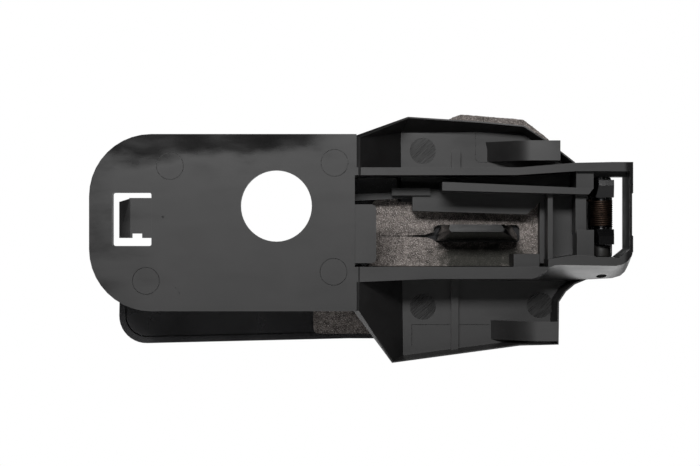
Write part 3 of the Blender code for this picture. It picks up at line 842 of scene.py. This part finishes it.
@dataclass
class Lever:
    """The swinging handle without its foam: inner arm, glossy cover, buffers and screws."""

    back: float = 30.0
    crown: float = 44.5
    wall: float = 2.5
    shoulder: float = 37.6
    cavity_end: float = 35.6
    rise_width: float = 8.0
    grid: float = 3.0
    tongue_end: float = 7.0
    tongue_right: float = 130.0
    tongue_foot: float = -3.6
    facet_tilt: float = 0.115
    lug_tilt: float = 0.18
    lug_near: float = 4.0
    lug_facets: Span = (14.4, -5.4)
    facet_height: float = 3.0
    rim_round: float = 0.6
    head_round: float = 0.75
    shank: float = 1.3
    pitch: float = 0.4
    point: float = 0.7
    recess: tuple[Span, ...] = ((1.7, 0.32), (0.32, 1.7))
    outline: tuple[Corner, ...] = (
        (-35.0, -48.6, 11.0), (57.5, -46.4, 60.0), (139.5, -46.6, 5.0), (139.5, -29.0, 8.0),
        (149.5, -19.0, 8.0), (163.3, -16.5, 5.0), (163.3, 20.4, 5.0), (149.5, 21.0, 8.0),
        (137.0, 32.4, 12.0), (127.4, 40.2, 8.0), (98.0, 41.8, 10.0), (84.0, 38.5, 9.0),
        (56.5, 22.0, 12.0), (53.0, -17.0, 16.0), (-34.4, -17.0, 11.0),
    )

    def build(self, finishes: Finishes) -> None:
        """Makes the lever's pieces and dresses them."""
        dress(self.cover(), finishes.gloss, Body.LEVER, "gloss_black", "grip_cover")
        arm = self.arm()
        arm.data.materials.append(finishes.arm)
        arm.data.materials.append(finishes.gloss)
        for face in arm.data.polygons:
            face.material_index = int(face.normal.y < -0.9 and face.center.y > (self.back - 0.1) * MM)
        dress(arm, finishes.arm, Body.LEVER, "arm_black", "lever_arm")
        for node in ("rest_buffer_upper", "rest_buffer_lower"):
            dress(self.buffer(node), finishes.rubber, Body.LEVER, "buffer_rubber", node)
        for number in (1, 2, 3):
            node = f"cover_screw_{number}"
            dress(self.screw(node), finishes.zinc, Body.LEVER, "screw_steel", node)

    def crown_height(self, distance: float) -> float:
        """How far out the cover reaches at a distance from its outline: a quarter of an ellipse."""
        share = min(1.0, distance / self.rise_width)
        return self.shoulder + (self.crown - self.shoulder) * math.sqrt(1.0 - (1.0 - share) ** 2)

    def cover(self) -> Object:
        """The crowned outer shell, hollow towards the door.

        Returns:
            The shell.
        """
        points = round_corners(self.outline, 9)
        cover = outline_plate("grip_cover_shell", points, self.back, self.shoulder)
        slice_up(cover, 0, self.grid)
        slice_up(cover, 2, self.grid)
        for vertex in cover.data.vertices:
            if vertex.co.y > (self.shoulder - 0.1) * MM:
                distance = edge_distance(points, vertex.co.x / MM, vertex.co.z / MM)
                vertex.co.y = self.crown_height(distance) * MM
        inner = round_corners(inset(self.outline, self.wall), 9)
        cut(cover, [outline_plate("cavity", inner, self.back - 3, self.cavity_end)])
        smooth(cover, 40.0)
        return cover

    def arm(self) -> Object:
        """The inner arm with its tongue and lugs, edges softened.

        Returns:
            The arm.
        """
        arm = merged_copy("lever_arm", "lever_arm_moulding")
        for vertex in arm.data.vertices:
            x, depth, z = vertex.co / MM
            if depth < self.tongue_end + 0.05 and x < self.tongue_right:
                vertex.co.y += (z - self.tongue_foot) * self.facet_tilt * MM
            for foot in self.lug_facets:
                on_lug = depth < self.lug_near + 0.05 and x > self.tongue_right
                if on_lug and 0.0 < z - foot < self.facet_height:
                    vertex.co.y += (z - foot) * self.lug_tilt * MM
        soften_edges(arm, 0.3, 34.0)
        even_normals(arm)
        return arm

    def buffer(self, node: str) -> Object:
        """A rubber button with a rounded rim and a dimple, in the place of a packed one.

        Args:
            node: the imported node's name.

        Returns:
            The button.
        """
        low, high = (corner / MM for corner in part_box(node))
        centre = (low + high) / 2
        button = outward_rod(f"{node}_button", (centre.x, centre.z), (high.x - low.x) / 2, low.y, high.y, 48)
        near = low.y * MM
        with editing(button, Pick.FACE, lambda face: face.normal.y < -0.9):
            bpy.ops.mesh.inset(thickness=1.5 * MM)
            bpy.ops.mesh.inset(thickness=0.4 * MM, depth=-0.45 * MM)
        rim = high.x - centre.x - 0.1
        with editing(button, Pick.EDGE, lambda edge: abs(middle(edge).y * MM - near) < 0.01 * MM
                     and math.hypot(middle(edge).x - centre.x, middle(edge).z - centre.z) > rim):
            bpy.ops.mesh.bevel(offset=self.rim_round * MM, segments=4, affect="EDGES")
        smooth(button, 40.0)
        return button

    def screw(self, node: str) -> Object:
        """A pan-head screw with a cross recess and a ridged shank, in the place of a packed one.

        Args:
            node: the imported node's name.

        Returns:
            The screw.
        """
        low, high = (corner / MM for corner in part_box(node))
        centre = (low + high) / 2
        place, seat = (centre.x, centre.z), self.back - 0.3
        head = outward_rod(f"{node}_turned", place, (high.x - low.x) / 2, low.y, seat, 48)
        with editing(head, Pick.EDGE, lambda edge: middle(edge).y < low.y + 0.05
                     and abs(edge.verts[0].co.y - edge.verts[1].co.y) < 1e-6):
            bpy.ops.mesh.bevel(offset=self.head_round * MM, segments=4, affect="EDGES")
        axis = (place[0] * MM, 0.0, place[1] * MM)
        with editing(head, Pick.FACE, lambda face: face.normal.y > 0.9):
            bpy.ops.mesh.inset(thickness=(high.x - centre.x - self.shank) * MM)
            turns = int((high.y - 0.9 - seat) / self.pitch)
            steps = [(self.pitch, 0.8 if turn % 2 == 0 else 1.25) for turn in range(turns)]
            for rise, ratio in [*steps, (self.point, 0.3)]:
                bpy.ops.mesh.extrude_region_move(TRANSFORM_OT_translate={"value": (0.0, rise * MM, 0.0)})
                bpy.ops.transform.resize(value=(ratio, 1.0, ratio), center_override=axis)
        for wide, tall in self.recess:
            corners = rectangle(centre.x - wide, centre.z - tall, centre.x + wide, centre.z + tall)
            cut(head, [outline_plate("recess", corners, low.y - 1.0, low.y + 1.0)])
        smooth(head, 35.0)
        return head


@dataclass
class FoamSheet:
    """The foam on the lever's back: pitted, sagging towards its slit, torn a little at its edges.

    The slit opens into a mouth, where the tongue comes through. The foam sinks along a fold below the mouth.
    """

    near: float = 26.6
    far: float = 29.7
    grid: float = 1.1
    slit_height: float = -5.2
    slit_start: float = 66.0
    mouth: Span = (91.6, 126.0)
    mouth_half: float = 3.0
    lip_dip: float = 0.9
    lip_width: float = 1.6
    crease_depth: float = 0.16
    crease_count: float = 17.0
    crease_fade: float = 6.0
    fold_depth: float = 1.1
    fold_height: float = -12.0
    fold_width: float = 3.6
    fold_start: float = 96.0
    layers: tuple[tuple[str, str, float, float], ...] = (
        ("foam_lumps", "CLOUDS", 2.6, 0.35), ("foam_cells", "VORONOI", 0.9, 0.32),
    )
    outline: tuple[Corner, ...] = (
        (43.3, -44.3, 2.4), (138.0, -44.5, 4.0), (137.6, -29.0, 6.0), (149.8, -17.0, 4.0),
        (149.8, 20.0, 3.0), (136.9, 33.9, 2.0), (127.3, 41.3, 3.0), (102.0, 43.4, 4.0),
        (85.0, 36.0, 6.0), (80.0, 10.5, 6.0), (66.8, 9.3, 3.0), (66.0, -18.0, 3.0), (43.3, -19.5, 2.4),
    )
    mouth_corners: tuple[Corner, ...] = (
        (91.6, -7.8, 1.5), (126.0, -7.8, 1.5), (126.0, -0.9, 2.0), (91.6, -0.9, 2.0),
    )
    slit: tuple[Point, ...] = (
        (65.0, -5.32), (80.0, -5.45), (88.0, -5.8), (92.6, -6.9), (92.6, -3.6), (88.0, -4.7), (80.0, -5.1),
        (65.0, -5.12),
    )
    holes: tuple[Corner, ...] = ((88.0, 27.0, 4.4), (88.0, -38.0, 4.4), (118.0, 27.0, 4.4))

    def build(self, finishes: Finishes) -> None:
        foam = outline_plate("foam_sheet", round_corners(self.outline, 6), self.near, self.far)
        slice_up(foam, 0, self.grid)
        slice_up(foam, 2, self.grid)
        with editing(foam, Pick.FACE, lambda face: face.normal.y < -0.9):
            bpy.ops.mesh.subdivide(number_cuts=1)
        cutters = [outline_plate("mouth", round_corners(self.mouth_corners, 6), self.near - 2, self.far + 2),
                   outline_plate("slit", self.slit, self.near - 2, self.far + 2)]
        cutters += [outward_rod("hole", (x, z), radius, self.near - 2, self.far + 2, 40)
                    for x, z, radius in self.holes]
        cut(foam, cutters)
        self.sag(foam)
        self.roughen(foam)
        smooth(foam, 60.0)
        dress(foam, finishes.foam, Body.LEVER, "foam", "head_foam")

    def sag(self, foam: Object) -> None:
        """Lets the foam dip towards its slit and fold in creases that spread from the mouth's ends.

        Args:
            foam: the sheet.
        """
        start, end = self.mouth
        for vertex in foam.data.vertices:
            x, depth, z = vertex.co / MM
            if depth > self.near + 0.5:
                continue
            along = min(max(x, self.slit_start), end)
            above = abs(z - self.slit_height) - (self.mouth_half if x > start else 0.0)
            beside = math.hypot(x - along, max(0.0, above))
            dip = self.lip_dip * math.exp(-((beside / self.lip_width) ** 2))
            angle = math.atan2(z - self.slit_height, x - (start if x < (start + end) / 2 else end))
            wave = math.sin(self.crease_count * angle + 0.6 * beside)
            crease = self.crease_depth * wave * math.exp(-beside / self.crease_fade)
            fold = self.fold_depth * math.exp(-(((z - self.fold_height) / self.fold_width) ** 2))
            fold /= 1.0 + math.exp((self.fold_start - x) / 3.0)
            vertex.co.y = min(self.far - 0.7, self.near + 0.12 + dip + max(crease, -0.1) + fold) * MM

    def roughen(self, foam: Object) -> None:
        """Displaces the near side and the edges with coarse lumps and fine open cells.

        Args:
            foam: the sheet.
        """
        skin = foam.vertex_groups.new(name="skin")
        rough = [vertex.index for vertex in foam.data.vertices if vertex.co.y < (self.far - 0.2) * MM]
        skin.add(rough, 1.0, "REPLACE")
        for name, kind, size, strength in self.layers:
            texture = bpy.data.textures.new(name, kind)
            texture.noise_scale = size * MM
            apply_modifier(foam, "DISPLACE", texture=texture, texture_coords="LOCAL", strength=strength * MM,
                           mid_level=0.5, vertex_group=skin.name)
        for vertex in foam.data.vertices:
            vertex.co.y = max(vertex.co.y, (self.near - 0.02) * MM)


@dataclass
class Hinge:
    """The pin, its clip, the bush and the return spring, all about one upright axis."""

    x: float = 156.5
    y: float = 11.0
    pin_radius: float = 1.75
    bore: float = 2.05
    clip_gap: float = 1.1
    coil_radius: float = 4.0
    wire_radius: float = 0.4
    turns: float = 12.25
    coil_high: float = 8.7
    coil_low: float = -1.5
    steps: int = 28
    base_leg: Place = (-5.7, 0.0, 0.0)
    hub_leg: Place = (0.0, 4.3, 0.0)

    def build(self, finishes: Finishes) -> None:
        """Makes the hinge's pieces and dresses them."""
        dress(self.pin(), finishes.steel, Body.BASE, "pin_steel", "pivot_pin")
        dress(self.clip(), finishes.steel, Body.BASE, "pin_steel", "pin_clip")
        dress(self.bush(), finishes.nylon, Body.BASE, "nylon", "spacer_lower")
        dress(self.spring(), finishes.wire, Body.BASE, "spring_wire", "return_spring")

    def upright_rod(self, name: str, radius: float, low: float, high: float) -> Object:
        """A cylinder on the hinge axis.

        Args:
            name: the object's name.
            radius: its radius.
            low: its lower end.
            high: its upper end.

        Returns:
            The cylinder.
        """
        bpy.ops.mesh.primitive_cylinder_add(
            vertices=64, radius=radius * MM, depth=(high - low) * MM,
            location=(self.x * MM, self.y * MM, (low + high) / 2 * MM),
        )
        return added(name)

    def pin(self) -> Object:
        """The pin, with rounded ends and a groove for the clip.

        Returns:
            The pin.
        """
        low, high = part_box("pivot_pin")
        clip_low, clip_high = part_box("pin_clip")
        pin = self.upright_rod("hinge_pin", self.pin_radius, low.z / MM, high.z / MM)
        with editing(pin, Pick.EDGE, lambda edge: abs(edge.verts[0].co.z - edge.verts[1].co.z) < 1e-6):
            bpy.ops.mesh.bevel(offset=0.35 * MM, segments=3, affect="EDGES")
        with editing(pin, Pick.FACE, every):
            for height in (clip_low.z, clip_high.z):
                bpy.ops.mesh.select_all(action="SELECT")
                bpy.ops.mesh.bisect(plane_co=(0.0, 0.0, height), plane_no=(0.0, 0.0, 1.0))
        between = (clip_low.z + clip_high.z) / 2
        with editing(pin, Pick.FACE, lambda face: abs(face.calc_center_median().z - between) < 0.1 * MM):
            bpy.ops.mesh.extrude_region_shrink_fatten(TRANSFORM_OT_shrink_fatten={"value": -0.3 * MM})
        smooth(pin, 35.0)
        return pin

    def clip(self) -> Object:
        """The open ring that holds the pin.

        Returns:
            The ring.
        """
        low, high = (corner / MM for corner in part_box("pin_clip"))
        clip = self.upright_rod("pin_ring", (high.x - low.x) / 2, low.z, high.z)
        cut(clip, [self.upright_rod("bore", self.bore, low.z - 1, high.z + 1)])
        corners = rectangle(self.x - self.clip_gap, low.z - 1, self.x + self.clip_gap, high.z + 1)
        cut(clip, [outline_plate("gap", corners, 5.0, self.y - 0.5)])
        soften_edges(clip, 0.12, 40.0)
        smooth(clip, 35.0)
        return clip

    def bush(self) -> Object:
        """The bush under the lower lug.

        Returns:
            The bush.
        """
        low, high = (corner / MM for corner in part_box("spacer_lower"))
        bush = self.upright_rod("lower_bush", (high.x - low.x) / 2, low.z, high.z)
        cut(bush, [self.upright_rod("bore", self.bore, low.z - 1, high.z + 1)])
        soften_edges(bush, 0.3, 40.0, 3)
        smooth(bush, 35.0)
        return bush

    def spring(self) -> Object:
        """The wire, wound down about the pin, with one leg to the base and one to the hub.

        Returns:
            The spring.
        """
        bpy.ops.mesh.primitive_circle_add(
            vertices=12, radius=self.wire_radius * MM, rotation=(0.0, math.pi / 2, 0.0),
            location=(0.0, self.coil_radius * MM, self.coil_high * MM),
        )
        spring = added("wound_spring")
        steps = round(self.turns * self.steps)
        apply_modifier(
            spring, "SCREW", axis="Z", angle=-math.tau * self.turns, steps=steps, render_steps=steps,
            screw_offset=(self.coil_low - self.coil_high) * MM, iterations=1, use_merge_vertices=False,
        )
        high, low = self.coil_high - 0.6, self.coil_low + 0.6
        self.leg(spring, lambda edge: edge.is_boundary and middle(edge).z > high, self.base_leg)
        self.leg(spring, lambda edge: edge.is_boundary and middle(edge).z < low, self.hub_leg)
        spring.location = (self.x * MM, self.y * MM, 0.0)
        place_in_mesh(spring)
        with editing(spring, Pick.FACE, every):
            bpy.ops.mesh.normals_make_consistent(inside=False)
        smooth(spring, 60.0)
        return spring

    def leg(self, spring: Object, at_end: Callable[..., bool], reach: Place) -> None:
        """Carries one end of the wire straight on and closes it.

        Args:
            spring: the wire.
            at_end: chooses the open edges of that end.
            reach: how far the leg goes.
        """
        with editing(spring, Pick.EDGE, at_end):
            shift = tuple(part * MM for part in reach)
            bpy.ops.mesh.extrude_region_move(TRANSFORM_OT_translate={"value": shift})
            bpy.ops.mesh.edge_face_add()


@dataclass
class Studio:
    """A pale floor, soft lights, a white surround and the camera."""

    camera_place: Place = (0.05796, -0.750, -0.00406)
    lens: float = 99.82
    floor_height: float = -0.30
    paper_side: Place = (0.0, 0.72, -0.69)
    paper_from: Span = (0.35, 0.95)
    paper_strength: Span = (0.05, 1.3)

    def build(self) -> None:
        """Sets the whole studio up."""
        self.floor()
        self.surround()
        self.light("key_panel", (-0.08, -1.03, 0.44), (0.06, 0.0, 0.0), (0.60, 0.18), 12.5)
        self.light("low_panel", (0.12, 0.14, -0.27), (0.12, 0.02, 0.0), (0.40, 0.26), 1.45)
        self.camera()

    def floor(self) -> None:
        """A pale round floor well below the handle."""
        bpy.ops.mesh.primitive_circle_add(
            vertices=96, radius=1.1, fill_type="NGON", location=(0.06, 0.0, self.floor_height),
        )
        floor = bpy.context.object
        floor.name = "studio_floor"
        recipe = Recipe("floor_paint")
        tone = recipe.mixed(recipe.noise(120.0, 2.0), (0.86, 0.86, 0.86), (0.90, 0.90, 0.90))
        floor.data.materials.append(recipe.finish({"Base Color": tone, "Roughness": 0.9}))

    def surround(self) -> None:
        """White where it is seen, and a soft grey where it only lights."""
        world = bpy.data.worlds.new("surround")
        world.use_nodes = True
        world.node_tree.nodes.clear()
        new, link = world.node_tree.nodes.new, world.node_tree.links.new
        seen, lighting = new("ShaderNodeBackground"), new("ShaderNodeBackground")
        seen.inputs["Color"].default_value = (1.0, 1.0, 1.0, 1.0)
        behind = new("ShaderNodeMapRange")
        for name, value in zip(("From Min", "From Max", "To Min", "To Max"),
                               self.paper_from + self.paper_strength):
            behind.inputs[name].default_value = value
        toward = new("ShaderNodeVectorMath")
        toward.operation = "DOT_PRODUCT"
        toward.inputs[1].default_value = self.paper_side
        link(new("ShaderNodeTexCoord").outputs["Generated"], toward.inputs[0])
        link(toward.outputs["Value"], behind.inputs["Value"])
        link(behind.outputs["Result"], lighting.inputs["Strength"])
        mix = new("ShaderNodeMixShader")
        link(new("ShaderNodeLightPath").outputs["Is Camera Ray"], mix.inputs[0])
        link(lighting.outputs[0], mix.inputs[1])
        link(seen.outputs[0], mix.inputs[2])
        link(mix.outputs[0], new("ShaderNodeOutputWorld").inputs["Surface"])
        bpy.context.scene.world = world
        bpy.context.scene.view_settings.view_transform = "Standard"

    def light(self, name: str, place: Place, target: Place, size: Span, watts: float) -> None:
        """A rectangular soft light that faces a point.

        Args:
            name: the light's name.
            place: where it stands.
            target: the point it faces.
            size: its width and height.
            watts: its power.
        """
        lamp = bpy.data.lights.new(name, "AREA")
        lamp.shape = "RECTANGLE"
        lamp.size, lamp.size_y = size
        lamp.energy = watts
        obj = bpy.data.objects.new(name, lamp)
        direction = Vector(target) - Vector(place)
        obj.matrix_world = Matrix.Translation(place) @ direction.to_track_quat("-Z", "Y").to_matrix().to_4x4()
        bpy.context.scene.collection.objects.link(obj)

    def camera(self) -> None:
        """The camera, level and square to the plate."""
        camera = bpy.data.cameras.new("camera")
        camera.lens = self.lens
        camera.sensor_width = 36.0
        obj = bpy.data.objects.new("camera", camera)
        obj.location = self.camera_place
        obj.rotation_euler = (math.pi / 2, 0.0, 0.0)
        bpy.context.scene.collection.objects.link(obj)
        bpy.context.scene.camera = obj


def main() -> None:
    """Builds the studio and every sub-assembly."""
    logging.basicConfig(level=logging.INFO, format="%(name)s %(message)s")
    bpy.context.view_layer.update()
    finishes = Finishes()
    Studio().build()
    BaseMoulding().build(finishes)
    Lever().build(finishes)
    FoamSheet().build(finishes)
    Hinge().build(finishes)


if __name__ == "__main__":
    main()
